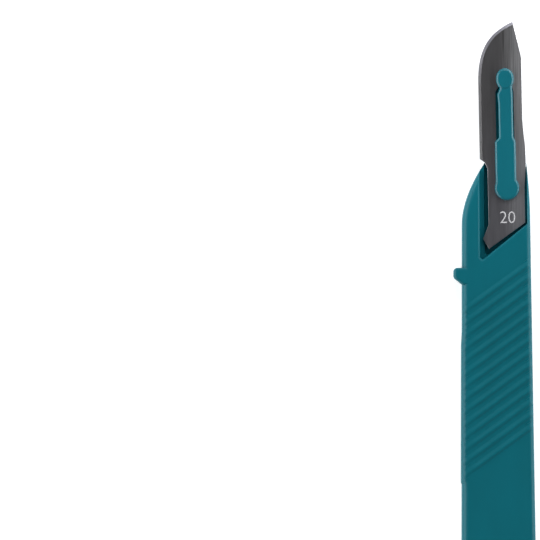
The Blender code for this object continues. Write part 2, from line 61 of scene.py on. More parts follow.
# %% [markdown]
# ## Two frames of reference
#
# The handle lies along Y with its tail towards -Y, and its back face is at a height of zero. The
# blade doesn't sit quite in line with it: it leans by less than a degree. Drawing the blade, its
# slot and its boss in a frame of their own keeps their numbers simple, because there the slot runs
# straight up the v axis from the rear rivet head. One matrix carries a point from there to the
# handle. Writing turned coordinates by hand would also work, but every later change would have to
# be turned by hand too.

# %% The blade's own frame
REAR_HEAD = (2.22 * MM, 15.76 * MM)
FRONT_V = 21.74 * MM
BLADE_LEAN = math.radians(0.7)
BLADE_FRAME = Matrix.Translation((*REAR_HEAD, 0.0)) @ Matrix.Rotation(BLADE_LEAN, 4, "Z")


def on_handle(u, v):
    """A point of the blade's frame as x and y on the handle."""
    point = BLADE_FRAME @ Vector((u, v, 0.0))
    return (point.x, point.y)


print("front rivet head on the handle, in mm:", in_mm(on_handle(0.0, FRONT_V)))

# %% [markdown]
# ## Points and heights that both pieces share
#
# The handle is made round its blade: the nose follows the blade's heel, the pocket follows the
# tang, and the whole length is counted back from the tip. So the blade's corners are named before
# anything is drawn, in the blade's frame, and so are the heights at which the two pieces meet. A
# small gap of air stays above and below the blade, so that the two never share a face.

# %% Name the shared points and heights
TIP = (1.75 * MM, 33.0 * MM)
FLARE = (3.88 * MM, 5.0 * MM)
EDGE_HEEL = (-5.3 * MM, 5.85 * MM)
NOTCH = (-4.3 * MM, 5.1 * MM)
LUG = (-4.97 * MM, -10.0 * MM)
TANG_HEEL = (-3.8 * MM, -12.03 * MM)
TANG_CORNER = (3.5 * MM, -6.96 * MM)
TANG_SLANT = math.radians(34.8)

HANDLE_THICKNESS = 4.0 * MM
BLADE_THICKNESS = 0.42 * MM
AIR_GAP = 0.1 * MM
SEAT_Z = 2.6 * MM
BLADE_Z = SEAT_Z + AIR_GAP
print("blade length in mm:", in_mm([TIP[1] - TANG_HEEL[1]]))

# %% [markdown]
# ## Curves for outlines
#
# A moulding has few straight corners. Its outline is made of straight runs, arcs and slow curves,
# so three small helpers cover all of it: a cubic Bezier stretch for the slow curves, an arc for the
# tail and the rivet heads, and a fillet that replaces a corner with a tangent arc. They return
# plain lists of points, which are easy to join, mirror, measure and print.

# %% Bezier, arc and fillet
def bezier_points(start, start_pull, end_pull, end, steps):
    """Points along one cubic Bezier stretch."""
    points = []
    for step in range(steps + 1):
        t = step / steps
        weights = ((1 - t) ** 3, 3 * t * (1 - t) ** 2, 3 * t * t * (1 - t), t ** 3)
        controls = (start, start_pull, end_pull, end)
        x = sum(weight * control[0] for weight, control in zip(weights, controls))
        y = sum(weight * control[1] for weight, control in zip(weights, controls))
        points.append((x, y))
    return points


def arc_points(centre, radii, start, end, steps):
    """Points along an arc of a circle or an ellipse, angles in radians."""
    points = []
    for step in range(steps + 1):
        angle = start + (end - start) * step / steps
        points.append((centre[0] + radii[0] * math.cos(angle),
                       centre[1] + radii[1] * math.sin(angle)))
    return points


def fillet(before, corner, after, radius, steps=12):
    """Points of the round that replaces one corner of an outline."""
    corner = Vector(corner)
    back = (Vector(before) - corner).normalized()
    on = (Vector(after) - corner).normalized()
    half_angle = back.angle(on) / 2
    centre = corner + (back + on).normalized() * (radius / math.sin(half_angle))
    first = corner + back * (radius / math.tan(half_angle)) - centre
    last = corner + on * (radius / math.tan(half_angle)) - centre
    start = math.atan2(first.y, first.x)
    sweep = (math.atan2(last.y, last.x) - start + math.pi) % (2 * math.pi) - math.pi
    return arc_points(centre, (radius, radius), start, start + sweep, steps)


print("a 1 mm fillet has", len(fillet((0, 1), (0, 0), (1, 0), 1.0)), "points")

# %% [markdown]
# ## The handle's outline
#
# Seen from above, the handle is a long slow taper that is widest at its rounded tail. At the front
# the edge side ramps in to the notch behind the cutting edge, the spine side curves gently under
# the blade, and a narrow tongue carries on below the blade to its front rivet. The real one is the
# parting line of the mould. It is drawn here as one closed list of points, from the measured
# widths, so the same list can be extruded, rounded and cut.

# %% Taper the handle
FLARE_GAP, POCKET_WALL = 0.12 * MM, 0.63 * MM
POCKET_SIDE = on_handle(*FLARE)[0] + FLARE_GAP
OVERALL_LENGTH = 150.0 * MM
TAIL_Y = on_handle(*TIP)[1] - OVERALL_LENGTH
FRONT_Y = 8.5 * MM
FRONT_HALF = POCKET_SIDE + POCKET_WALL
TAIL_HALF = 7.68 * MM
TAIL_CURVES = (7.0 * MM, 11.0 * MM)


def half_width(y):
    """Half the handle's width at a place along its straight taper."""
    slope = (TAIL_HALF - FRONT_HALF) / (FRONT_Y - TAIL_Y - TAIL_CURVES[1])
    return FRONT_HALF + slope * (FRONT_Y - y)


print("tail at", in_mm([TAIL_Y]), "mm, half widths", in_mm([FRONT_HALF, TAIL_HALF]), "mm")

# %% Draw the outline
RAMP_PULL, NOTCH_PULL = 5.5 * MM, (0.86 * MM, 1.23 * MM)
SPINE_CURVE = ((0.0, 0.0), (0.0, 5.17 * MM), (-0.38 * MM, 10.33 * MM), (-1.13 * MM, 15.5 * MM))
TONGUE_HALF, TONGUE_END, TONGUE_CORNER = 2.68 * MM, 24.98 * MM, 2.2 * MM
EDGE_ROOT_V, SPINE_ROOT_V = 8.05 * MM, 14.69 * MM


def edge_ramp():
    """The edge side's ramp from the straight side up to the notch at the blade's heel."""
    side = half_width(FRONT_Y)
    notch = on_handle(*NOTCH)
    pull = (notch[0] - NOTCH_PULL[0], notch[1] - NOTCH_PULL[1])
    return bezier_points((-side, FRONT_Y), (-side, FRONT_Y + RAMP_PULL), pull, notch, 28)


def handle_outline():
    """The handle and its tongue, anticlockwise from the front of the spine side."""
    side = half_width(FRONT_Y)
    spine = bezier_points(*[(side + x, FRONT_Y + y) for x, y in SPINE_CURVE], 24)
    ramp = edge_ramp()
    tongue = [on_handle(TONGUE_HALF, SPINE_ROOT_V), on_handle(TONGUE_HALF, TONGUE_END),
              on_handle(-TONGUE_HALF, TONGUE_END), on_handle(-TONGUE_HALF, EDGE_ROOT_V)]
    turns = [spine[-1]] + tongue + [ramp[-1]]
    outline = list(spine)
    for before, corner, after in zip(turns, turns[1:], turns[2:]):
        outline += fillet(before, corner, after, TONGUE_CORNER)
    outline += reversed(ramp)
    for length, quarter in zip(TAIL_CURVES, (2, 3)):
        centre = (0.0, TAIL_Y + length)
        radii = (half_width(centre[1]), length)
        start, end = quarter * math.pi / 2, (quarter + 1) * math.pi / 2
        # The second quarter begins where the first one ended, so it leaves out that point.
        outline += arc_points(centre, radii, start, end, 32)[quarter - 2:]
    return outline


print("outline points:", len(handle_outline()))

# %% [markdown]
# ## From outline to solid
#
# The quickest clean way from a flat outline to a solid in Blender is a 2D curve that is filled on
# both sides and extruded. Its ends come out as many triangles, so the helper merges them into one
# flat face each. A long flat face that meets many small cuts shades badly, so the helper can also
# divide the solid along planes without opening it. Two smaller helpers put an object in the scene
# and fetch the mesh that a curve, a text or a modifier makes.

# %% Flat solids
SAME_POINT, SAME_PLANE, SAME_FACE = 0.000005, 0.0000001, math.radians(0.1)


def add_object(name, data):
    """An object that shows the data, linked to the scene."""
    made = bpy.data.objects.new(name, data)
    bpy.context.scene.collection.objects.link(made)
    return made


def finished_mesh(source):
    """The mesh that a curve, a text or an object with modifiers makes."""
    bpy.context.view_layer.update()
    depsgraph = bpy.context.evaluated_depsgraph_get()
    return bpy.data.meshes.new_from_object(source.evaluated_get(depsgraph))


def flat_solid(name, outline, bottom, top, cuts=()):
    """A flat outline with upright sides. Each cut, a point and a normal, divides its faces."""
    curve = bpy.data.curves.new(name, "CURVE")
    curve.dimensions = "2D"
    curve.fill_mode = "BOTH"
    curve.extrude = (top - bottom) / 2
    spline = curve.splines.new("POLY")
    spline.points.add(len(outline) - 1)
    for point, (x, y) in zip(spline.points, outline):
        point.co = (x, y, 0.0, 1.0)
    spline.use_cyclic_u = True
    drawing = add_object(name + "_drawing", curve)
    mesh = finished_mesh(drawing)
    bpy.data.objects.remove(drawing)
    shape = bmesh.new()
    shape.from_mesh(mesh)
    bmesh.ops.remove_doubles(shape, verts=shape.verts, dist=SAME_POINT)
    bmesh.ops.dissolve_limit(shape, angle_limit=SAME_FACE, verts=shape.verts, edges=shape.edges)
    for place, normal in cuts:
        geometry = list(shape.verts) + list(shape.edges) + list(shape.faces)
        bmesh.ops.bisect_plane(shape, geom=geometry, dist=SAME_PLANE, plane_co=place,
                               plane_no=normal)
    bmesh.ops.translate(shape, verts=shape.verts, vec=(0.0, 0.0, (top + bottom) / 2))
    bmesh.ops.recalc_face_normals(shape, faces=shape.faces)
    shape.to_mesh(mesh)
    shape.free()
    return add_object(name, mesh)


# %% [markdown]
# ## Rounded rims
#
# Bevel rounds the rims as a mould maker rounds a cavity. A rim is an edge between an upright wall
# and a flat face. Some rims are rounder than others, so each gets a bevel weight of its own, and a
# small function says how large the round is from where the rim is and which way its wall looks.

# %% Round the rims of a solid
UPRIGHT, LEVEL = 0.1, 0.95


def round_rims(solid, radius_at, segments, clamp=False):
    """Rounds each rim by a radius that depends on its middle and on its wall's outward normal."""
    shape = bmesh.new()
    shape.from_mesh(solid.data)
    weight = shape.edges.layers.float.new("bevel_weight_edge")
    radii = {}
    for edge in shape.edges:
        normals = sorted((face.normal for face in edge.link_faces), key=lambda n: abs(n.z))
        if len(normals) == 2 and abs(normals[0].z) < UPRIGHT and abs(normals[1].z) > LEVEL:
            radii[edge] = radius_at((edge.verts[0].co + edge.verts[1].co) / 2, normals[0])
    for edge, radius in radii.items():
        edge[weight] = radius / max(radii.values())
    shape.to_mesh(solid.data)
    bevel = solid.modifiers.new("rounded rims", "BEVEL")
    bevel.width = max(radii.values())
    bevel.segments = segments
    bevel.limit_method = "WEIGHT"
    bevel.use_clamp_overlap = clamp
    print(f"{solid.name}: {len(radii)} rim edges")
    shape.free()


# %% [markdown]
# ## The body of the handle
#
# The body is the outline at full thickness with rounded rims. In the photograph the rounds show as
# two paler bands, because their slope turns towards the light at the sides. The band on the edge
# side is the wider one, so the round there is larger. Eight segments make the bands read as curved.
# The body is divided between the grip ribs, where the cuts will come.

# %% Raise the body
RIB_COUNT = 14
RIB_PITCH = 2.5 * MM
RIB_FIRST_Y = 4.0 * MM
RIB_ANGLE = math.radians(35.5)
ROUND, EDGE_ROUND, ROUND_STEPS = 1.1 * MM, 1.5 * MM, 8

across_ribs = (math.sin(RIB_ANGLE), -math.cos(RIB_ANGLE), 0.0)
valleys = [((0.0, -RIB_FIRST_Y + (0.5 - rib) * RIB_PITCH, 0.0), across_ribs)
           for rib in range(RIB_COUNT + 1)]


def body_round(middle, outward):
    """The body's round at a rim: larger on the face's edge side, with a gentle change between."""
    on_face = middle.z > HANDLE_THICKNESS / 2
    return ROUND + (EDGE_ROUND - ROUND) * max(0.0, -outward.x) * on_face


handle = flat_solid("moulded_handle", handle_outline(), 0.0, HANDLE_THICKNESS, valleys)
round_rims(handle, body_round, ROUND_STEPS)
print("body divided by", len(valleys), "planes")

# %% [markdown]
# ## Joining and cutting
#
# Everything that follows is added to the body or cut from it with Booleans, the way a solid
# modeller builds a moulding. The exact solver copes with faces that touch. Each tool is used once
# and then taken away, and the result is settled into a plain mesh at once, so that a later cell
# always sees real vertices and its printed counts mean something.

# %% Settle modifiers into the mesh
OVERCUT = 1.0 * MM
PAST_SIDES = 9.0 * MM


def settle(solid):
    """Applies a solid's modifiers and returns its triangle count."""
    mesh = finished_mesh(solid)
    solid.modifiers.clear()
    solid.data = mesh
    return sum(len(polygon.vertices) - 2 for polygon in mesh.polygons)


def shape_with(solid, tool, operation):
    """Adds, cuts or trims with a tool, settles the result and removes the tool."""
    boolean = solid.modifiers.new(tool.name, "BOOLEAN")
    boolean.operation = operation
    boolean.solver = "EXACT"
    boolean.object = tool
    count = settle(solid)
    print(f"{operation.lower()} with {tool.name}: {count} triangles")
    bpy.data.objects.remove(tool)


def to_blade_frame(solid):
    """Turns and moves the mesh of a solid drawn in the blade's frame to its place."""
    solid.data.transform(BLADE_FRAME)
    return solid


print("body settled:", settle(handle), "triangles")

# %% [markdown]
# ## A loft, and a prism with shaped walls
#
# The pocket's lip and the boss's rim aren't sharp on a moulding. Beveling an edge after a Boolean
# often fails where the edge meets other cuts, so the round goes into the tool instead. A loft joins
# rings of points, one after the other, into a closed solid. A prism with shaped walls is a loft of
# copies of one outline, each moved in or out by a chosen distance at a chosen height. A corner
# moves along the line that halves it, which keeps every wall parallel to itself.

# %% Loft rings of points
def add_loft(shape, rings):
    """Adds a closed solid through rings of points, which all have the same count."""
    loops = [[shape.verts.new(point) for point in ring] for ring in rings]
    shape.faces.new(list(reversed(loops[0])))
    shape.faces.new(loops[-1])
    for lower, upper in zip(loops, loops[1:]):
        for index in range(len(lower)):
            following = (index + 1) % len(lower)
            shape.faces.new((lower[index], lower[following], upper[following], upper[index]))


def solid_from(name, shape):
    """Makes an object of a bmesh and frees it."""
    bmesh.ops.recalc_face_normals(shape, faces=shape.faces)
    mesh = bpy.data.meshes.new(name)
    shape.to_mesh(mesh)
    shape.free()
    return add_object(name, mesh)


def loft(name, levels):
    """A closed solid through flat outlines. Each level is a height and an outline."""
    shape = bmesh.new()
    add_loft(shape, [[(x, y, height) for x, y in outline] for height, outline in levels])
    return solid_from(name, shape)


# %% Offset outlines and round a prism's rim
OUTWARDS, INWARDS = 1.0, -1.0
SHARPEST = 0.3


def moved_outline(outline, distance):
    """The outline with every wall moved outwards by the distance, for an anticlockwise outline."""
    moved = []
    for index, point in enumerate(outline):
        here = Vector(point)
        along_in = (here - Vector(outline[index - 1])).normalized()
        along_out = (Vector(outline[(index + 1) % len(outline)]) - here).normalized()
        out_in = Vector((along_in.y, -along_in.x))
        out_out = Vector((along_out.y, -along_out.x))
        middle = (out_in + out_out).normalized()
        moved.append(here + middle * (distance / max(middle.dot(out_in), SHARPEST)))
    return moved


def stacked_prism(name, outline, levels):
    """A closed solid through copies of an outline. Each level is a height and a distance moved."""
    return loft(name, [(height, moved_outline(outline, distance)) for height, distance in levels])


def rounded_over(top, radius, direction, steps=5):
    """Levels of a quarter round that ends at the height top, outwards for a lip or inwards."""
    levels = []
    for step in range(steps + 1):
        angle = step / steps * math.pi / 2
        height = top - radius + radius * math.sin(angle)
        levels.append((height, direction * radius * (1 - math.cos(angle))))
    return levels


lip = rounded_over(HANDLE_THICKNESS, 1.0 * MM, OUTWARDS)
print("a 1 mm lip, heights and distances in mm:", [in_mm(level) for level in lip])

# %% [markdown]
# ## The pocket
#
# The tang of the blade lies in a pocket with a wall on each side and a slanted end that follows the
# tang's own slant. Beside the tang and round its end a groove goes deeper, so that the tang rests
# on a seat that stands clear. This dark groove is one of the first things one sees in the
# photograph, with a shelf between it and the pocket's outer wall. A loft between a narrow and a
# wide outline gives the groove a sloping wall. The pocket's lip gets a small round, which catches
# light as a thin bright line.

# %% Draw the pocket and its groove
LUG_GAP, POCKET_END_GAP, POCKET_FAN = 0.67 * MM, 0.4 * MM, math.radians(3.0)
POCKET_CORNER, SEAT_CORNER = 0.5 * MM, 0.8 * MM
SEAT_SIDE, SEAT_INSET = -3.3 * MM, 0.5 * MM
OPEN_END = 42.0 * MM


def pocket_corners(slope):
    """The open end on the edge side, and the slanted end's low and high corners."""
    left = on_handle(*LUG)[0] - LUG_GAP + slope
    slant = TANG_SLANT + BLADE_LEAN + POCKET_FAN
    away = Vector((math.sin(slant), -math.cos(slant)))
    through = Vector(on_handle(*TANG_CORNER)) + POCKET_END_GAP * away
    low = (left, through.y + (left - through.x) * math.tan(slant))
    high = (POCKET_SIDE, through.y + (POCKET_SIDE - through.x) * math.tan(slant))
    return (left, OPEN_END), low, high


def groove_outline(slope):
    """The groove beside the tang and round its slanted end. What it leaves is the blade's seat."""
    open_left, low, high = pocket_corners(slope)
    end_v = TANG_CORNER[1] + SEAT_INSET / math.cos(TANG_SLANT)
    corner = on_handle(SEAT_SIDE, end_v - (TANG_CORNER[0] - SEAT_SIDE) * math.tan(TANG_SLANT))
    wall = (high[0], corner[1] + (high[0] - corner[0]) * math.tan(TANG_SLANT + BLADE_LEAN))
    front = on_handle(SEAT_SIDE, OPEN_END)
    outline = fillet(open_left, low, high, POCKET_CORNER) + [high, wall]
    outline += fillet(wall, corner, front, SEAT_CORNER)
    return outline + [(front[0], OPEN_END), open_left]


def pocket_outline(slope=0.0):
    """The pocket seen from above, with its outer wall moved in by the slope."""
    open_left, low, high = pocket_corners(slope)
    return fillet(open_left, low, high, POCKET_CORNER) + [high, (POCKET_SIDE, OPEN_END), open_left]


print("groove points:", len(groove_outline(0.0)), "pocket points:", len(pocket_outline()))

# %% Cut the pocket
SHELF_WIDTH, FLOOR_INSET = 0.96 * MM, 1.2 * MM
GROOVE_FLOOR, GROOVE_MOUTH, ABOVE_SEAT = 1.9 * MM, 2.5 * MM, 2.8 * MM
LIP, POCKET_DRAFT, MOUTH_INSET = 0.42 * MM, 0.1 * MM, 0.01 * MM

mouth = moved_outline(groove_outline(SHELF_WIDTH), -MOUTH_INSET)
groove_levels = [(GROOVE_FLOOR, groove_outline(FLOOR_INSET)), (GROOVE_MOUTH, mouth),
                 (ABOVE_SEAT, mouth)]
shape_with(handle, loft("groove", groove_levels), "DIFFERENCE")
lip_levels = rounded_over(HANDLE_THICKNESS, LIP, OUTWARDS)
lip_levels.append((HANDLE_THICKNESS + OVERCUT, 2 * LIP))
pocket_levels = [(SEAT_Z, pocket_outline(POCKET_DRAFT))]
pocket_levels += [(height, moved_outline(pocket_outline(), distance))
                  for height, distance in lip_levels]
shape_with(handle, loft("pocket", pocket_levels), "DIFFERENCE")

# %% [markdown]
# ## The relief behind the nose
#
# Behind the blade the handle thins down to a tongue, so that the blade's edge clears whatever it
# cuts against. It is one long wedge cut from behind. Its profile is drawn in side view and turned
# upright with a matrix that swaps the axes.

# %% Thin the nose from behind
TONGUE_Z = 1.1 * MM
RELIEF_LEAD, RELIEF_RAMP, RELIEF_END = 1.5 * MM, 4.0 * MM, 42.5 * MM
RAMP_BELOW = 3.6 * MM

wedge_start = on_handle(0.0, EDGE_HEEL[1])[1] - RELIEF_LEAD
profile = [(wedge_start, 0.0), (wedge_start + RELIEF_RAMP, TONGUE_Z), (RELIEF_END, TONGUE_Z),
           (RELIEF_END, -OVERCUT), (wedge_start - RAMP_BELOW, -OVERCUT)]
wedge = flat_solid("relief", profile, -PAST_SIDES, PAST_SIDES)
wedge.data.transform(Matrix(((0, 0, 1, 0), (1, 0, 0, 0), (0, 1, 0, 0), (0, 0, 0, 1))))
shape_with(handle, wedge, "DIFFERENCE")

# %% [markdown]
# ## The thumb tab and the finger pad
#
# A small tab stands out from the edge side and gives the thumb a place to push. Just behind the
# ribs' front end, the same side swells a little and ends short, where a finger rests. Both are
# small solids that sink well into the body, because a union needs a clear overlap. The pad's rims
# have the body's own rounds, so that the two roll over side by side.

# %% Add the tab
TAB_OUT, TAB_SUNK, TAB_LENGTH, TAB_REAR = 1.69 * MM, 2.4 * MM, 2.0 * MM, 3.4 * MM
TAB_CORNER, TAB_ROUND = 0.85 * MM, 0.4 * MM
TAB_BOTTOM, TAB_TOP = 0.06 * MM, HANDLE_THICKNESS - 0.005 * MM


def tab_round(middle, outward):
    """The tab's round: twice as large at its outer end as along its flanks."""
    return TAB_ROUND + TAB_ROUND * max(0.0, -outward.x)


side = half_width(0.0)
tab_out, tab_root = -(side + TAB_OUT), -side + TAB_SUNK
tab_outline = [(tab_root, 0.0)]
tab_outline += fillet((tab_root, 0.0), (tab_out, 0.0), (tab_out, -TAB_LENGTH), TAB_CORNER)
tab_outline += fillet((tab_out, 0.0), (tab_out, -TAB_LENGTH), (-side, -TAB_REAR), TAB_CORNER)
tab_outline += [(-side, -TAB_REAR), (tab_root, -TAB_REAR)]
tab = flat_solid("thumb_tab", tab_outline, TAB_BOTTOM, TAB_TOP)
round_rims(tab, tab_round, ROUND_STEPS)
settle(tab)
shape_with(handle, tab, "UNION")

# %% Add the pad
# Places along the handle and how far the pad stands proud there, both in millimetres.
PAD = [(-10.0, -0.15), (-15.5, 0.15), (-42.7, 0.15), (-44.2, -0.75)]
PAD_SUNK, PAD_TOP = 3.0 * MM, HANDLE_THICKNESS - 0.01 * MM


def pad_proud(y):
    """How far the pad stands proud of the side at a place along it."""
    for (y_front, proud_front), (y_rear, proud_rear) in zip(PAD, PAD[1:]):
        if y_rear * MM <= y <= y_front * MM:
            share = (y / MM - y_front) / (y_rear - y_front)
            return max(0.0, proud_front + share * (proud_rear - proud_front)) * MM
    return 0.0


pad_outline = [(-half_width(y * MM) - proud * MM, y * MM) for y, proud in PAD]
pad_outline += [(-half_width(y * MM) + PAD_SUNK, y * MM) for y in (PAD[-1][0], PAD[0][0])]
upper = rounded_over(PAD_TOP, EDGE_ROUND, INWARDS, ROUND_STEPS)
lower = [(HANDLE_THICKNESS - height, distance)
         for height, distance in reversed(rounded_over(PAD_TOP, ROUND, INWARDS, ROUND_STEPS))]
shape_with(handle, stacked_prism("finger_pad", pad_outline, lower + upper), "UNION")

# %% [markdown]
# ## The grip ribs
#
# Fourteen ribs cross the face at a slant. A moulded rib has a round crest and a small hollow where
# it leaves the face, so its section is a smooth bell, with the crest towards the tail, where the
# finger pushes against it. On the spine side each rib runs out over the rounded edge. Towards the
# edge side it sinks, and only a faint wave of it crosses the pad's round. A plain bar can't bend
# over a round, so each rib is swept: its section is set up at many places along the way, across the
# path and upright on the surface there, with its own height, and the sections are lofted.

# %% Place the ribs
RIB_HEIGHT, WAVE_HEIGHT = 0.29 * MM, 0.14 * MM
EDGE_REACH, SPINE_REACH = 6.9 * MM, 6.7 * MM
SINK_START, SINK_END = 2.4 * MM, -0.4 * MM
LAST_TILT, TILT_STEP, FACE_STEPS = 80, 8, 40
WAVE_ENDS, RIB_ENDS = 72, 66


def smooth_share(value, low, high):
    """How far a value is on its way from low to high, eased at both ends."""
    share = min(max((value - low) / (high - low), 0.0), 1.0)
    return share * share * (3 - 2 * share)


def rib_stations(middle_y):
    """Places along one rib from the edge side: x, the surface's tilt in degrees, rib height."""
    slant = math.tan(RIB_ANGLE)
    left_y, right_y = middle_y - EDGE_REACH * slant, middle_y + SPINE_REACH * slant
    left = half_width(left_y) + pad_proud(left_y) - EDGE_ROUND
    right = half_width(right_y) - ROUND
    stations = []
    for tilt in range(-LAST_TILT, 0, TILT_STEP):
        x = -left + EDGE_ROUND * math.sin(math.radians(tilt))
        stations.append((x, tilt, WAVE_HEIGHT * (1 - (tilt / WAVE_ENDS) ** 2)))
    for step in range(FACE_STEPS + 1):
        x = -left + (left + right) * step / FACE_STEPS
        rise = smooth_share(x, -left + SINK_END, -left + SINK_START)
        stations.append((x, 0, WAVE_HEIGHT + (RIB_HEIGHT - WAVE_HEIGHT) * rise))
    for tilt in range(TILT_STEP, LAST_TILT + 1, TILT_STEP):
        x = right + ROUND * math.sin(math.radians(tilt))
        stations.append((x, tilt, RIB_HEIGHT * (1 - (tilt / RIB_ENDS) ** 2)))
    return stations


print("stations along a rib:", len(rib_stations(-RIB_FIRST_Y)))

# %% Sweep the ribs
UPPER_FLANK, LOWER_FLANK = 1.04 * MM, 0.68 * MM
FOOT_SUNK, ROOT_SUNK = 0.02 * MM, 0.2 * MM


def bell(half, height, steps=10):
    """Half of a rib's section, from its foot to its crest: a raised cosine."""
    shares = [step / steps for step in range(steps + 1)]
    return [(half * (1 - share), height * math.sin(share * math.pi / 2) ** 2) for share in shares]


def rib_rings(middle_y):
    """The sections of one rib, sunk a little at the foot so that it joins the body."""
    placed = []
    for x, tilt, height in rib_stations(middle_y):
        turn = math.radians(tilt)
        radius = EDGE_ROUND if tilt < 0 else ROUND
        z = HANDLE_THICKNESS - radius + radius * math.cos(turn)
        point = Vector((x, middle_y + x * math.tan(RIB_ANGLE), z))
        placed.append((point, Vector((math.sin(turn), 0.0, math.cos(turn))), height))
    rings = []
    for index, (point, normal, height) in enumerate(placed):
        before, after = placed[max(index - 1, 0)][0], placed[min(index + 1, len(placed) - 1)][0]
        across = (after - before).cross(normal).normalized()
        crest = height + FOOT_SUNK
        section = [(-UPPER_FLANK, -ROOT_SUNK), (LOWER_FLANK, -ROOT_SUNK)]
        section += [(u, z - FOOT_SUNK) for u, z in bell(LOWER_FLANK, crest)]
        section += [(-u, z - FOOT_SUNK) for u, z in reversed(bell(UPPER_FLANK, crest)[:-1])]
        rings.append([point + across * u + normal * z for u, z in section])
    return rings


swept = bmesh.new()
for rib in range(RIB_COUNT):
    add_loft(swept, rib_rings(-RIB_FIRST_Y - rib * RIB_PITCH))
shape_with(handle, solid_from("grip_ribs", swept), "UNION")

# %% [markdown]
# ## Grooves on the back
#
# The back has the same grip, but there the ribs stay level with the surface and the valleys are
# sunk, so that the scalpel lies steady on a tray. A straight bar is enough for a groove, and since
# all the grooves are alike, an Array repeats it. They start inside the edge side and run out over
# the spine side.

# %% Sink the back's valleys
BACK_RIB_TOP, VALLEY_DEPTH = 0.5 * MM, 0.28 * MM
VALLEY_MARGIN, VALLEY_OVERCUT = 1.8 * MM, 0.06 * MM


def slanted_bars(name, section, edge_reach, spine_reach, first_y, count):
    """A row of bars at the ribs' slant. Their section is given as distances across and heights."""
    sine, cosine = math.sin(RIB_ANGLE), math.cos(RIB_ANGLE)
    bars = flat_solid(name, section, -spine_reach / cosine, edge_reach / cosine)
    bars.data.transform(Matrix(((sine, 0, -cosine, 0), (-cosine, 0, -sine, -first_y),
                                (0, 1, 0, 0), (0, 0, 0, 1))))
    row = bars.modifiers.new("row", "ARRAY")
    row.count = count
    row.use_relative_offset = False
    row.use_constant_offset = True
    row.constant_offset_displace = (0.0, -RIB_PITCH, 0.0)
    settle(bars)
    return bars


valley_half = (RIB_PITCH * math.cos(RIB_ANGLE) - BACK_RIB_TOP) / 2
sunk = bell(valley_half, VALLEY_DEPTH)
valley_section = [(-valley_half, -VALLEY_OVERCUT), (valley_half, -VALLEY_OVERCUT)]
valley_section += sunk + [(-x, z) for x, z in reversed(sunk[:-1])]
first_valley = RIB_FIRST_Y + RIB_PITCH / 2
valley_reach = half_width(-first_valley) - VALLEY_MARGIN
back_valleys = slanted_bars("back_grooves", valley_section, valley_reach, PAST_SIDES,
                            first_valley, RIB_COUNT - 1)
shape_with(handle, back_valleys, "DIFFERENCE")

# %% [markdown]
# ## The boss that holds the blade
#
# The boss fills the blade's slot. When the blade is on, a hot tool presses the boss down, and the
# plastic spreads into a bead with a round head at each end that can't pass back through the slot.
# Slot, stem and bead share one keyhole outline at different widths, so one function draws all
# three: a round front head, a neck, a narrow strip, a wide strip and a larger rear head. On the
# spine side some plastic has also flowed down beside the stem, and nearly fills the slot there.

# %% Draw a keyhole
WIDE_END, STEP_LENGTH, SWELL_LENGTH = 9.6 * MM, 0.8 * MM, 3.2 * MM


def keyhole_side(front_radii, neck, strip, wide, rear, neck_v, swell=0.0):
    """One side of a keyhole in the blade's frame, from the rear end to the front end."""
    opening = math.acos(min(wide / rear, 1.0))
    points = arc_points((0.0, 0.0), (rear, rear), -math.pi / 2, opening, 24)
    if wide > strip:
        points += [(wide, WIDE_END - STEP_LENGTH / 2), (strip, WIDE_END + STEP_LENGTH / 2)]
    points += [(strip, neck_v - SWELL_LENGTH), (strip + swell, neck_v - 1.2 * STEP_LENGTH),
               (neck, neck_v)]
    opening = math.acos(min(neck / front_radii[0], 1.0))
    return points + arc_points((0.0, FRONT_V), front_radii, -opening, math.pi / 2, 24)


def keyhole(right, left=None):
    """A closed keyhole from its spine side and, where that differs, its edge side."""
    left = left or right
    return right + [(-u, v) for u, v in reversed(left[1:-1])]


# %% Raise the stem
SLOT_SHOULDER = 20.1 * MM
ROOT_Z, STEM_TOP = 2.0 * MM, 3.5 * MM
FLOW_SIDES, FLOW_ENDS = (0.5 * MM, 1.56 * MM), (8.0 * MM, 19.4 * MM)
FLOW_SHOULDER, FLOW_TOP, FLOW_INSET = 2.9 * MM, 3.0 * MM, 0.05 * MM

stem_side = keyhole_side(front_radii=(1.15 * MM, 1.15 * MM), neck=1.15 * MM, strip=1.32 * MM,
                         wide=1.5 * MM, rear=1.85 * MM, neck_v=SLOT_SHOULDER)
stem = stacked_prism("stem", keyhole(stem_side), [(ROOT_Z, 0.0), (STEM_TOP, 0.0)])
shape_with(handle, to_blade_frame(stem), "UNION")
flow_outline = [(FLOW_SIDES[0], FLOW_ENDS[0]), (FLOW_SIDES[1], FLOW_ENDS[0]),
                (FLOW_SIDES[1], FLOW_ENDS[1]), (FLOW_SIDES[0], FLOW_ENDS[1])]
flow_levels = [(ROOT_Z, 0.0), (FLOW_SHOULDER, 0.0), (FLOW_TOP, -FLOW_INSET)]
shape_with(handle, to_blade_frame(stacked_prism("flow", flow_outline, flow_levels)), "UNION")

# %% [markdown]
# ## The bead and its front head
#
# Hot staking never comes out even: the bead is narrower and its neck more pinched on the edge side,
# and the front head has flowed out into an oval that lies over the end of the strip. So the bead's
# two sides are drawn apart, and the oval is a piece of its own that stands a little higher.

# %% Stake the bead
BEAD_TOP = HANDLE_THICKNESS - 0.1 * MM
BEAD_BOTTOM = BLADE_Z + BLADE_THICKNESS + AIR_GAP
BEAD_ROUND, HEAD_ROUND, HEAD_PROUD = 0.55 * MM, 0.6 * MM, 0.12 * MM
OVAL_CENTRE, OVAL_RADII = (0.0, 21.6 * MM), (1.74 * MM, 2.17 * MM)
OVAL_FOOT = 0.01 * MM

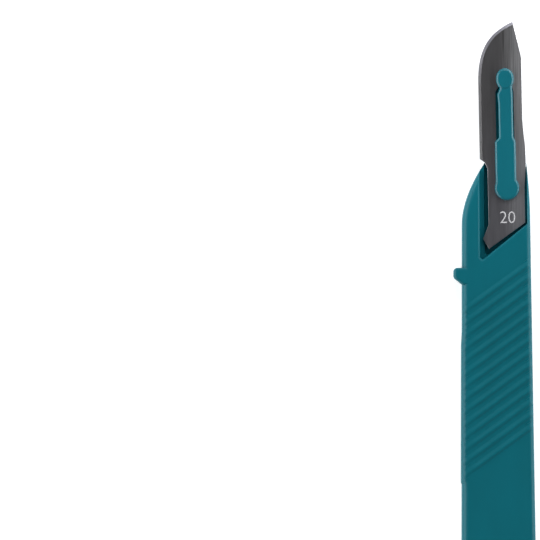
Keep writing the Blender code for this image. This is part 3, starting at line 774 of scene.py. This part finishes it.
heads = {"front_radii": (1.74 * MM, 2.03 * MM), "rear": 2.42 * MM, "neck_v": 19.6 * MM}
pinched = keyhole_side(neck=1.07 * MM, strip=1.42 * MM, wide=2.22 * MM, swell=0.16 * MM, **heads)
straight = keyhole_side(neck=1.38 * MM, strip=1.46 * MM, wide=1.86 * MM, **heads)
bead_levels = [(BEAD_BOTTOM, 0.0)] + rounded_over(BEAD_TOP, BEAD_ROUND, INWARDS, ROUND_STEPS)
bead = stacked_prism("bead", keyhole(straight, pinched), bead_levels)
shape_with(handle, to_blade_frame(bead), "UNION")
oval = arc_points(OVAL_CENTRE, OVAL_RADII, 0.0, 2 * math.pi, 64)[:-1]
head_levels = rounded_over(BEAD_TOP + HEAD_PROUD, HEAD_ROUND, INWARDS, ROUND_STEPS)
front_head = stacked_prism("front_head", oval, [(BEAD_BOTTOM, -OVAL_FOOT)] + head_levels)
shape_with(handle, to_blade_frame(front_head), "UNION")

# %% [markdown]
# ## Smooth and flat where the moulding is
#
# A Boolean leaves flat faces beside curved ones. If all of them shade smooth, the flats pick up
# odd gradients from their curved neighbours. Marking edges above 21 degrees as sharp keeps the
# corners, and Weighted Normal lets the large flats decide the shading at their own rims.

# %% Shade the handle
def shade(solid, sharp_angle=21.0):
    """Smooth shading with sharp corners and flats that stay flat. Returns the triangle count."""
    solid.data.shade_smooth()
    solid.data.set_sharp_from_angle(angle=math.radians(sharp_angle))
    weighted = solid.modifiers.new("flats stay flat", "WEIGHTED_NORMAL")
    weighted.keep_sharp = True
    return settle(solid)


print("handle:", shade(handle), "triangles")

# %% [markdown]
# ## The blade
#
# The blade is punched from steel strip, ground along its edge and belly, and polished. It is drawn
# as one outline in its own frame. The edge and the belly come first in the list, because only
# those points get the grind: there the face outline is moved in by the width of the grind, and the
# outline itself sits at half the thickness as a sharp edge. Lofting between the two gives a true
# wedge, which a bevel on a plain plate can't, since a bevel would blunt the edge.

# %% Draw the blade
EDGE_U, SPINE_U, TANG_U = -5.3 * MM, 3.36 * MM, -3.8 * MM
EDGE_V, BELLY_V, BELLY_PULL_V = 13.0 * MM, 21.0 * MM, 28.0 * MM
TIP_PULL = (-2.81 * MM, 30.95 * MM)
TANG_ENDS = (-7.2 * MM, 3.9 * MM)
CLIP_V, FLARE_START_V, FLARE_PULL_V = 26.0 * MM, 15.5 * MM, 10.25 * MM


def blade_outline():
    """The outline from the edge's heel round the tip and down the spine, and its ground count."""
    ground = [EDGE_HEEL, (EDGE_U, EDGE_V)]
    ground += bezier_points((EDGE_U, BELLY_V), (EDGE_U, BELLY_PULL_V), TIP_PULL, TIP, 48)
    spine = [(SPINE_U, CLIP_V)]
    spine += bezier_points((SPINE_U, FLARE_START_V), (SPINE_U, FLARE_PULL_V),
                           (FLARE[0], FLARE_PULL_V), FLARE, 24)
    tang = [(TANG_CORNER[0], 0.0), TANG_CORNER, TANG_HEEL, LUG]
    tang += [(TANG_U, v) for v in TANG_ENDS] + [NOTCH]
    return ground + spine + tang, len(ground)


print("blade outline points:", len(blade_outline()[0]))

# %% Grind the edge
GRIND = 0.55 * MM


def ground_plate(name, outline, ground_count):
    """A plate whose first outline points are an edge ground from both faces."""
    face = []
    for index, point in enumerate(outline):
        here = Vector(point)
        if index >= ground_count:
            face.append(here)
            continue
        before = Vector(outline[max(index - 1, 0)])
        after = Vector(outline[min(index + 1, ground_count - 1)])
        along = (after - before).normalized()
        inward = Vector((along.y, -along.x))
        if index in (0, ground_count - 1):
            # The end of the grind moves along the side that meets it, so the side stays straight.
            neighbour = Vector(outline[index - 1 if index == 0 else index + 1])
            beside = (neighbour - here).normalized()
            inward = beside / beside.dot(inward)
        face.append(here + inward * GRIND)
    middle = BLADE_Z + BLADE_THICKNESS / 2
    return loft(name, [(BLADE_Z, face), (middle, outline), (BLADE_Z + BLADE_THICKNESS, face)])


blade = ground_plate("ground_blade", *blade_outline())
print("blade faces:", len(blade.data.polygons))

# %% [markdown]
# ## The slot
#
# The slot is punched through the blade with the same keyhole as the stem, a little wider. Its rear
# round is the larger one, so that a real blade can drop over the boss and slide back. The blade
# sits a hair to the edge side of its boss, so the slot's two sides differ.

# %% Punch the slot
def slot_side(half):
    """One side of the slot, whose strip has one width all the way."""
    return keyhole_side(front_radii=(1.3 * MM, 1.3 * MM), neck=1.3 * MM, strip=half, wide=half,
                        rear=2.0 * MM, neck_v=SLOT_SHOULDER)


slot_shape = keyhole(slot_side(1.63 * MM), slot_side(1.92 * MM))
slot = stacked_prism("slot", slot_shape, [(ROOT_Z, 0.0), (HANDLE_THICKNESS, 0.0)])
shape_with(blade, slot, "DIFFERENCE")

# %% [markdown]
# ## Rolled rims on the punched sides
#
# Tumbling rounds the rims of punched steel by a few hundredths of a millimetre. The round is tiny,
# but it is what draws the thin bright line along the tang, where the punch has dragged the steel
# down most. Only rims get one, so the ground edge keeps its point.

# %% Round the punched rims
TANG_ROLL, ROLL = 0.1 * MM, 0.07 * MM
TANG_RIM_U, TANG_RIM_V = -2.5 * MM, 4.0 * MM


def punched_round(middle, outward):
    """The rolled rim of the punched blade: larger beside the tang."""
    beside_tang = middle.x < TANG_RIM_U and middle.y < TANG_RIM_V
    return TANG_ROLL if beside_tang else ROLL


round_rims(blade, punched_round, segments=6, clamp=True)
settle(blade)
blade.data.transform(BLADE_FRAME)
print("blade:", shade(blade, sharp_angle=12.0), "triangles")

# %% [markdown]
# ## The size figure
#
# Blades come in numbered patterns, and the pattern's number, twenty, is etched on the tang. It is
# only a surface mark, less than a hundredth of a millimetre high, so it is a flat text that is
# fitted to its measured box and laid on the steel.

# %% Lay the figure on the tang
FIGURE_LOW, FIGURE_HIGH = (0.79 * MM, 8.8 * MM), (3.8 * MM, 11.12 * MM)
FIGURE_PROUD, FIGURE_SUNK = 0.006 * MM, 0.02 * MM
TYPE_DEPTH, STROKE_OFFSET = 0.004, -0.012

text = bpy.data.curves.new("size_figure", "FONT")
text.body = "20"
text.resolution_u = 4
text.extrude = TYPE_DEPTH
text.offset = STROKE_OFFSET
figure_text = add_object("size_figure_text", text)
figure_mesh = finished_mesh(figure_text)
bpy.data.objects.remove(figure_text)
lows = [min(vertex.co[axis] for vertex in figure_mesh.vertices) for axis in (0, 1)]
highs = [max(vertex.co[axis] for vertex in figure_mesh.vertices) for axis in (0, 1)]
face_z = BLADE_Z + BLADE_THICKNESS
for vertex in figure_mesh.vertices:
    for axis in (0, 1):
        share = (vertex.co[axis] - lows[axis]) / (highs[axis] - lows[axis])
        vertex.co[axis] = FIGURE_LOW[axis] + share * (FIGURE_HIGH[axis] - FIGURE_LOW[axis])
    vertex.co.z = face_z + (FIGURE_PROUD if vertex.co.z > 0 else -FIGURE_SUNK)
figure = add_object("size_figure", figure_mesh)
print("figure faces:", len(figure_mesh.polygons))

# %% [markdown]
# ## Finishes
#
# Each finish is a small node tree around one Principled shader. Everything that is the same all
# over is typed straight into the shader's sockets, and nodes are used only for what varies over the
# surface, so an exporter can read the constants. A few helpers cover the wiring: one starts a
# finish, and the others each add one node or one short chain and return its result.

# %% Start a finish
def new_finish(name, **values):
    """A material with one Principled shader and its node tree. Values name the shader's sockets."""
    material = bpy.data.materials.new(name)
    material.use_nodes = True
    shader = material.node_tree.nodes["Principled BSDF"]
    for socket, value in values.items():
        shader.inputs[socket.replace("_", " ")].default_value = value
    return material, material.node_tree, shader


def add_node(tree, kind, **settings):
    """A node with the given attributes."""
    node = tree.nodes.new(kind)
    for key, value in settings.items():
        setattr(node, key, value)
    return node


def coordinate(tree, kind, axis):
    """One axis of a texture coordinate, such as the object's own Y."""
    place = add_node(tree, "ShaderNodeTexCoord")
    parts = add_node(tree, "ShaderNodeSeparateXYZ")
    tree.links.new(place.outputs[kind], parts.inputs["Vector"])
    return parts.outputs[axis]


def remapped(tree, source, start, end, at_start=0.0, at_end=1.0):
    """A value that runs from at_start to at_end while its source runs from start to end."""
    ranged = add_node(tree, "ShaderNodeMapRange")
    limits = {"From Min": start, "From Max": end, "To Min": at_start, "To Max": at_end}
    for socket, value in limits.items():
        ranged.inputs[socket].default_value = value
    tree.links.new(source, ranged.inputs["Value"])
    return ranged.outputs["Result"]


def combined(tree, operation, first, second):
    """The sum or product of two values."""
    node = add_node(tree, "ShaderNodeMath", operation=operation)
    tree.links.new(first, node.inputs[0])
    tree.links.new(second, node.inputs[1])
    return node.outputs["Value"]


# %% Grain, gradient and bump
NOISE_LOW, NOISE_HIGH = 0.3, 0.7


def grain_of(tree, stretch, scale, detail=3.0):
    """Noise over the object's own coordinates in millimetres, stretched by three factors."""
    place = add_node(tree, "ShaderNodeTexCoord")
    mapping = add_node(tree, "ShaderNodeMapping")
    mapping.inputs["Scale"].default_value = [factor / MM for factor in stretch]
    noise = add_node(tree, "ShaderNodeTexNoise")
    noise.inputs["Scale"].default_value = scale
    noise.inputs["Detail"].default_value = detail
    tree.links.new(place.outputs["Object"], mapping.inputs["Vector"])
    tree.links.new(mapping.outputs["Vector"], noise.inputs["Vector"])
    return noise.outputs["Fac"]


def spread(tree, noise, low, high):
    """Maps a noise's middle range to low and high."""
    return remapped(tree, noise, NOISE_LOW, NOISE_HIGH, low, high)


def along_y(tree, start, end, at_start, at_end):
    """A value that changes along the object from one place on Y to another."""
    return remapped(tree, coordinate(tree, "Object", "Y"), start, end, at_start, at_end)


def bump_from(tree, shader, source, height):
    """Turns a value into a bump of the given height in metres."""
    bump = add_node(tree, "ShaderNodeBump")
    bump.inputs["Distance"].default_value = height
    tree.links.new(source, bump.inputs["Height"])
    tree.links.new(bump.outputs["Normal"], shader.inputs["Normal"])


# %% [markdown]
# ## Teal moulded plastic
#
# The handle is coloured through, with a soft satin surface from a fine spark-eroded mould. Its
# colour drifts very slightly: it is a little paler towards the nose, and cloudy all over. Its gloss
# is low and a little uneven. The bead was melted, so it is glossier than the moulded skin. Gradient
# and noise work on the object's coordinates, so they need no unwrapping.

# %% Mix the plastic
FACE_TEAL, NOSE_TEAL = (0.0042, 0.107, 0.137, 1.0), (0.0044, 0.137, 0.180, 1.0)
NOSE_FADE, NOSE_SHARE = (-12.0 * MM, 25.0 * MM), 0.75
CLOUD_STRETCH, CLOUD_SHARE = (0.25, 0.08, 0.25), 0.25
ROUGHNESS_DRIFT, PORE_DEPTH = 0.03, 0.004 * MM


def plastic_finish(name, specular, rough):
    """Teal plastic with its own strength of reflection and roughness."""
    material, tree, shader = new_finish(name, Metallic=0.0, Specular_IOR_Level=specular)
    # The colour turns a little paler towards the nose.
    flow = along_y(tree, *NOSE_FADE, 0.0, NOSE_SHARE)
    clouds = spread(tree, grain_of(tree, CLOUD_STRETCH, scale=1.0), 0.0, CLOUD_SHARE)
    tint = add_node(tree, "ShaderNodeMix", data_type="RGBA")
    tint.inputs["A"].default_value = FACE_TEAL
    tint.inputs["B"].default_value = NOSE_TEAL
    tree.links.new(combined(tree, "ADD", flow, clouds), tint.inputs["Factor"])
    tree.links.new(tint.outputs["Result"], shader.inputs["Base Color"])
    pores = grain_of(tree, (1.0, 1.0, 1.0), scale=9.0, detail=4.0)
    gloss = spread(tree, pores, rough - ROUGHNESS_DRIFT, rough + ROUGHNESS_DRIFT)
    tree.links.new(gloss, shader.inputs["Roughness"])
    bump_from(tree, shader, pores, PORE_DEPTH)
    return material


plastic = plastic_finish("teal_plastic", specular=0.14, rough=0.34)
staked = plastic_finish("staked_plastic", specular=0.42, rough=0.3)
print("plastics:", plastic.name, "and", staked.name)

# %% [markdown]
# ## Satin blade steel
#
# The strip is rolled and ground lengthwise, so its grain is a noise stretched a hundredfold along
# the blade. The grain moves the colour and the gloss a little and raises a bump far smaller than a
# hair. A reflection is also painted into the colour: the steel is painted darker towards the
# cutting edge and paler towards the spine, less so on the tang. The hone on the edge has its fine
# lines across it, and its colour is darker from the belly to the heel.

# %% Grind the steel and paint its reflection
# Where the painted reflection is darkest and palest across the blade, and the ramp's stops between
# them.
REFLECTION_DARK_X, REFLECTION_PALE_X, REFLECTION_STOPS = -2.6 * MM, 5.6 * MM, (0.41, 1.0)
GRAIN_DRIFT, GLOSS_DRIFT, GRAIN_DEPTH = 0.12, 0.05, 0.0015 * MM


def steel_finish(name, dark, pale, rough, stretch, rear, fade):
    """Steel with a painted reflection, dark at the edge side and pale at the spine, with a rear
    colour.
    """
    material, tree, shader = new_finish(name, Metallic=1.0, Roughness=rough)
    grain = grain_of(tree, stretch, scale=1.0, detail=5.0)
    # Painted reflection: the colour runs from dark at the edge side to pale at the spine.
    across = remapped(tree, coordinate(tree, "Object", "X"), REFLECTION_DARK_X, REFLECTION_PALE_X)
    drift = spread(tree, grain, -GRAIN_DRIFT, GRAIN_DRIFT)
    ramp = add_node(tree, "ShaderNodeValToRGB")
    ramp.color_ramp.interpolation = "EASE"
    for element, position, colour in zip(ramp.color_ramp.elements, REFLECTION_STOPS, (dark, pale)):
        element.position = position
        element.color = colour
    tree.links.new(combined(tree, "ADD", across, drift), ramp.inputs["Fac"])
    # Towards the rear the colour mixes into the rear colour, which weakens the painted reflection
    # on the satin steel's tang.
    evened = add_node(tree, "ShaderNodeMix", data_type="RGBA")
    evened.inputs["B"].default_value = rear
    tree.links.new(along_y(tree, *fade), evened.inputs["Factor"])
    tree.links.new(ramp.outputs["Color"], evened.inputs["A"])
    tree.links.new(evened.outputs["Result"], shader.inputs["Base Color"])
    gloss = spread(tree, grain, rough - GLOSS_DRIFT, rough + GLOSS_DRIFT)
    tree.links.new(gloss, shader.inputs["Roughness"])
    bump_from(tree, shader, grain, GRAIN_DEPTH)
    return material


# The satin steel's dark and pale ends paint its reflection; the honed steel's two ends are alike,
# so it has none.
steel = steel_finish("satin_steel", dark=(0.31, 0.305, 0.32, 1), pale=(0.93, 0.94, 0.97, 1),
                     rough=0.36, stretch=(14.0, 0.12, 1.0),
                     rear=(0.55, 0.55, 0.63, 1), fade=(30.0 * MM, 12.0 * MM, 0.0, 0.45))
honed = steel_finish("honed_steel", dark=(0.54, 0.54, 0.61, 1), pale=(0.54, 0.54, 0.61, 1),
                     rough=0.32, stretch=(0.5, 16.0, 0.5),
                     rear=(0.27, 0.27, 0.28, 1), fade=(45.0 * MM, 36.0 * MM, 0.0, 1.0))
etched = new_finish("etched_figure", Base_Color=(0.58, 0.58, 0.60, 1.0), Metallic=0.0,
                    Roughness=0.7)[0]
print("steels:", steel.name, "and", honed.name)

# %% [markdown]
# ## Give each piece its finish
#
# The handle's bead is found by its place. The blade carries two finishes: satin on its faces and
# the hone on the narrow bands along the edge and the belly. Those bands slope gently, and they are
# larger than the faces of the rolled rims, so their normals and areas find them.

# %% Assign the finishes
BEAD_SIDE, BEAD_ENDS = 2.5 * MM, (-2.5 * MM, 24.2 * MM)
BEAD_FLOOR = BEAD_BOTTOM - 0.05 * MM
HONE_SLOPES, SMALLEST_BAND = (0.8, 0.985), 0.02 * MM * MM


def on_bead(centre):
    """Whether a face of the handle belongs to the staked bead."""
    u, v, z = BLADE_FRAME.inverted() @ centre
    return abs(u) < BEAD_SIDE and BEAD_ENDS[0] < v < BEAD_ENDS[1] and z > BEAD_FLOOR


for piece, main, special in ((handle, plastic, staked), (blade, steel, honed)):
    piece.data.materials.clear()
    piece.data.materials.append(main)
    piece.data.materials.append(special)
for polygon in handle.data.polygons:
    polygon.material_index = int(on_bead(polygon.center))
for polygon in blade.data.polygons:
    sloped = HONE_SLOPES[0] < abs(polygon.normal.z) < HONE_SLOPES[1]
    polygon.material_index = int(sloped and polygon.area > SMALLEST_BAND)
figure.data.materials.append(etched)
print("staked faces:", sum(polygon.material_index for polygon in handle.data.polygons))
print("honed faces:", sum(polygon.material_index for polygon in blade.data.polygons))

# %% [markdown]
# ## Ride on the frame
#
# The two fine pieces stand for the two CAD nodes, which stay for collision but are no longer shown.
# The part has one rigid body, so everything rides on its root.

# %% Attach the pieces
for piece, node, slot_name in ((handle, "handle", "teal_plastic"), (blade, "blade", "satin_steel")):
    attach(piece, "root")
    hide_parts(node)
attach(figure, "root")
print("riding on the root:", handle.name, blade.name, figure.name)

# %% [markdown]
# ## The pale sweep
#
# Product shots of instruments are taken on white. The floor is a wide disc whose diffuse white
# keeps the soft contact shadow, with a little extra that only the camera and reflections see, so
# the ground goes to white without putting more light on the scalpel.

# %% Lay the floor
FLOOR_RADIUS, FLOOR_CENTRE, FLOOR_GLOW = 12.0, (0.0, -0.03, -0.02 * MM), 0.6


def pale_floor():
    """A wide flat disc just under the handle."""
    shape = bmesh.new()
    bmesh.ops.create_circle(shape, cap_ends=True, segments=96, radius=FLOOR_RADIUS)
    bmesh.ops.translate(shape, verts=shape.verts, vec=FLOOR_CENTRE)
    mesh = bpy.data.meshes.new("pale_floor")
    shape.to_mesh(mesh)
    shape.free()
    material, tree, shader = new_finish(
        "pale_floor", Base_Color=(0.85, 0.85, 0.85, 1.0), Roughness=0.9, Specular_IOR_Level=0.0,
        Emission_Color=(1.0, 1.0, 1.0, 1.0))
    rays = add_node(tree, "ShaderNodeLightPath").outputs
    mirrored = combined(tree, "ADD", rays["Is Glossy Ray"], rays["Is Transmission Ray"])
    glow = add_node(tree, "ShaderNodeMath", operation="MULTIPLY")
    glow.inputs[1].default_value = FLOOR_GLOW
    tree.links.new(combined(tree, "ADD", rays["Is Camera Ray"], mirrored), glow.inputs[0])
    tree.links.new(glow.outputs["Value"], shader.inputs["Emission Strength"])
    mesh.materials.append(material)
    return add_object("pale_floor", mesh)


floor = pale_floor()
print("floor radius:", FLOOR_RADIUS, "m")

# %% [markdown]
# ## Soft light from the sides
#
# In the photograph both long rounds of the handle are paler than its face, and the steel is dark
# grey. Both say the same thing: the light stands low around the scalpel, and there is little above
# it, where the camera is. So the world is dim overhead and bright near the horizon, except on the
# photographer's side, since the ribs' flanks on that side are dark and clean. Two strong soft
# boxes stand low at the sides, and a third beyond the tip gives each grip rib a bright and a dark
# flank.

# %% Shade the world
LOW_SKY, HIGH_SKY = 0.25, 0.8
NEAR_SIDE, FAR_SIDE, NEAR_SHARE = -0.7, 0.2, 0.3


def dim_overhead_world(horizon, zenith):
    """A world that is bright low down, and dim above and on the near side."""
    world = bpy.data.worlds.new("studio")
    world.use_nodes = True
    tree = world.node_tree
    tree.nodes.clear()
    up, beyond = coordinate(tree, "Generated", "Z"), coordinate(tree, "Generated", "Y")
    fade = remapped(tree, up, LOW_SKY, HIGH_SKY, horizon, zenith)
    near = remapped(tree, beyond, NEAR_SIDE, FAR_SIDE, NEAR_SHARE)
    light = add_node(tree, "ShaderNodeBackground")
    output = add_node(tree, "ShaderNodeOutputWorld")
    tree.links.new(combined(tree, "MULTIPLY", fade, near), light.inputs["Strength"])
    tree.links.new(light.outputs["Background"], output.inputs["Surface"])
    bpy.context.scene.world = world


dim_overhead_world(horizon=1.2, zenith=0.08)

# %% Set up the soft boxes
BOX_DISTANCE = 1.2


def soft_box(name, direction, elevation, size, power):
    """A wide, low area lamp that looks at the scalpel from a compass direction, degrees from +X."""
    lamp = bpy.data.lights.new(name, "AREA")
    lamp.shape = "RECTANGLE"
    lamp.size, lamp.size_y = size
    lamp.energy = power
    turn, tilt = math.radians(direction), math.radians(elevation)
    level = math.cos(tilt)
    offset = Vector((math.cos(turn) * level, math.sin(turn) * level, math.sin(tilt)))
    box = add_object(name, lamp)
    box.location = offset * BOX_DISTANCE
    box.rotation_euler = offset.to_track_quat("Z", "Y").to_euler()
    box.visible_camera = False
    print(f"{name}: {power} W from {direction} degrees, {elevation} degrees up")


soft_box("right_box", 15.0, 20.0, (2.0, 0.55), 19.0)
soft_box("left_box", 190.0, 17.0, (1.9, 0.9), 22.0)
soft_box("far_box", 80.0, 35.0, (0.8, 0.6), 5.5)

# %% [markdown]
# ## The camera
#
# The photograph looks straight down at the scalpel. A long lens from far away keeps the blade and
# the handle at the same scale, as a catalogue picture does. The framing is the photograph's own:
# the scalpel stands at the right of the frame, and its tail runs out of the bottom.

# %% Aim the camera
SENSOR_WIDTH = 36.0
FRAME_WIDTH = 107.1 * MM
FRAME_CENTRE = (-44.95 * MM, -0.14 * MM)
FRAME_TURN = -0.008
DISTANCE, NEAREST, FARTHEST = 1.5, 0.01, 50.0

camera = bpy.data.cameras.new("top_view")
camera.sensor_width = SENSOR_WIDTH
camera.lens = SENSOR_WIDTH * DISTANCE / FRAME_WIDTH
camera.clip_start, camera.clip_end = NEAREST, FARTHEST
top_view = add_object("top_view", camera)
top_view.location = (*FRAME_CENTRE, DISTANCE + HANDLE_THICKNESS)
top_view.rotation_euler = (0.0, 0.0, FRAME_TURN)
bpy.context.scene.camera = top_view
bpy.context.scene.view_settings.view_transform = "Standard"
print("lens:", round(camera.lens), "mm, frame width:", in_mm([FRAME_WIDTH]), "mm")
